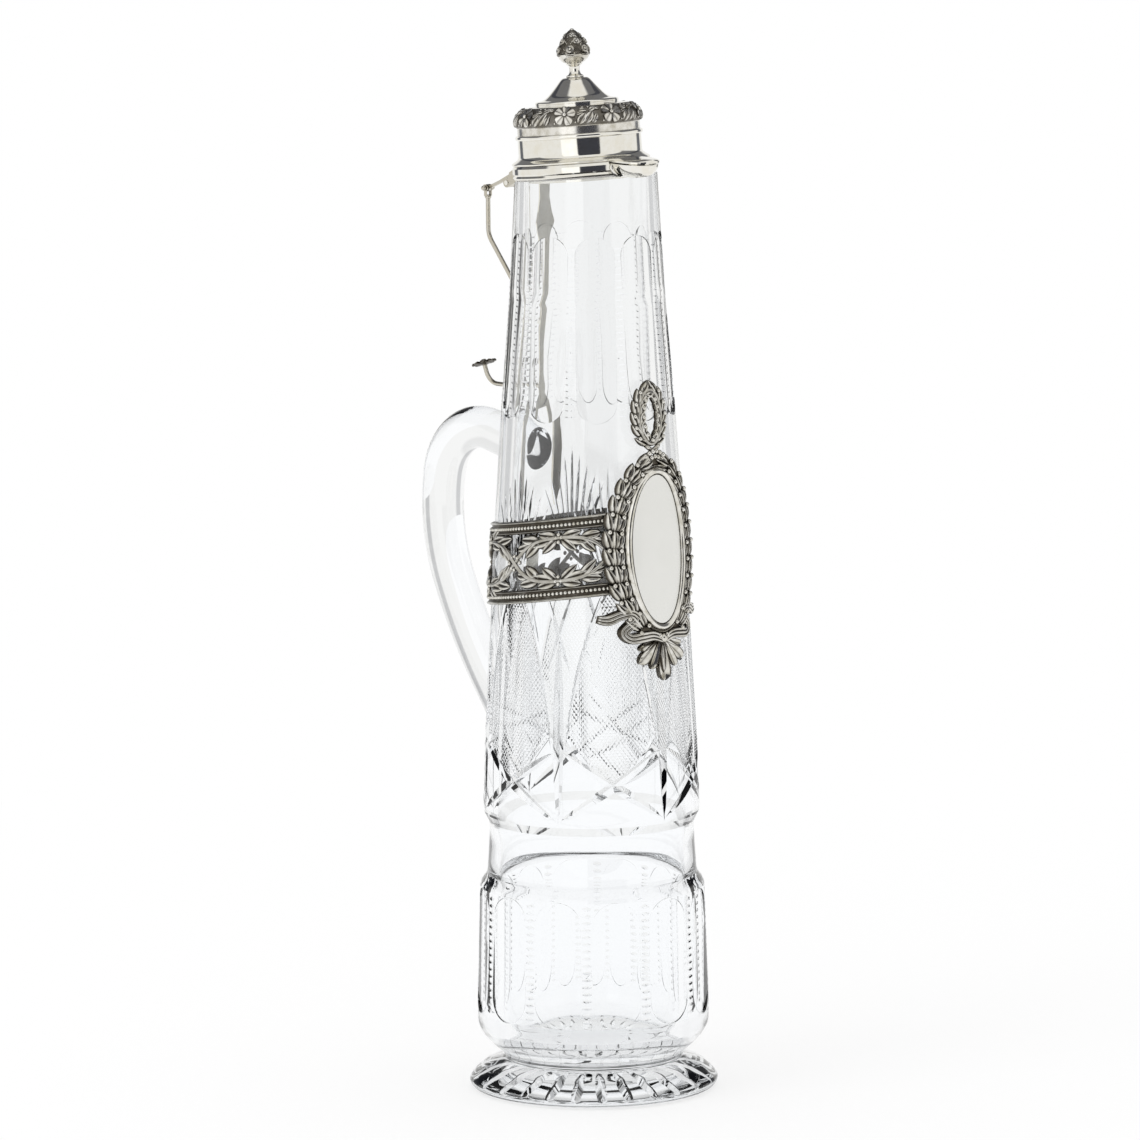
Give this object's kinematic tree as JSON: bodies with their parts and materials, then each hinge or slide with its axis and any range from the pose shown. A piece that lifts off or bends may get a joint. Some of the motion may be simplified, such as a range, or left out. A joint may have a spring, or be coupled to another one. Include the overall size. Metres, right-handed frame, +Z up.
{
  "type": "claret jug",
  "caption": "Tall tapering cut-glass jug with a loop handle, a hinged silver lid opened by a thumb rod, and a tilted openwork band with an oval plaque.",
  "frame": {"origin": "centre of the foot's flat underside, on the surface that the jug stands on", "axes": "+Z up the jug, -Y towards the spout and the plaque, +Y towards the handle, +X to the right seen from the spout's side with the handle behind, which is the pourer's left"},
  "size_m": [0.0986, 0.1453, 0.4196],
  "materials": {
    "cut_glass": "clear lead crystal, wheel-cut and polished",
    "silver": "polished silver",
    "satin_silver": "satin silver, plain",
    "dark_silver": "chased silver with dark patina in the hollows",
    "plaster": "plaster bedding",
    "brass_nut": "turned brass"
  },
  "bodies": {
    "jug": {"glass_body": "cut_glass", "glass_handle": "cut_glass", "collar": "silver", "bedding_ring": "plaster", "spout": "silver", "hinge_bracket": "silver", "hinge_pin": "silver", "back_strap": "silver", "upper_guide": "silver", "lower_guide": "silver", "band_upper_rim": "dark_silver", "band_lower_rim": "dark_silver", "band_openwork": "dark_silver", "band_lap": "dark_silver", "band_rivets": "silver", "plaque": "satin_silver", "plaque_frame": "silver", "laurel_border": "dark_silver", "top_wreath": "dark_silver", "berry_cluster": "dark_silver", "ribbon_bow": "dark_silver"},
    "lid": {"lid_shell": "silver", "lid_beak": "silver", "lid_bead": "silver", "lid_bezel": "silver", "lid_band": "dark_silver", "lid_dome": "silver", "finial_stem": "silver", "finial": "dark_silver", "finial_nut": "brass_nut", "lid_lever": "silver"},
    "thumb_rod": {"link_pin": "silver", "pull_rod": "silver", "thumbpiece": "silver", "thumb_rivet": "silver"}
  },
  "joints": [
    {"name": "lid_hinge", "type": "hinge", "parent": "jug", "child": "lid", "pos_m": [0, 0.041, 0.357], "axis": [-1, 0, 0], "range_deg": [0, 32]},
    {"name": "rod_link", "type": "hinge", "parent": "lid", "child": "thumb_rod", "pos_m": [0, 0.0582, 0.3534], "axis": [-1, 0, 0], "range_deg": [-36, 0]}
  ],
  "couplings": [
    {"joint": "rod_link", "follows": "lid_hinge", "ratio": -1.125}
  ]
}
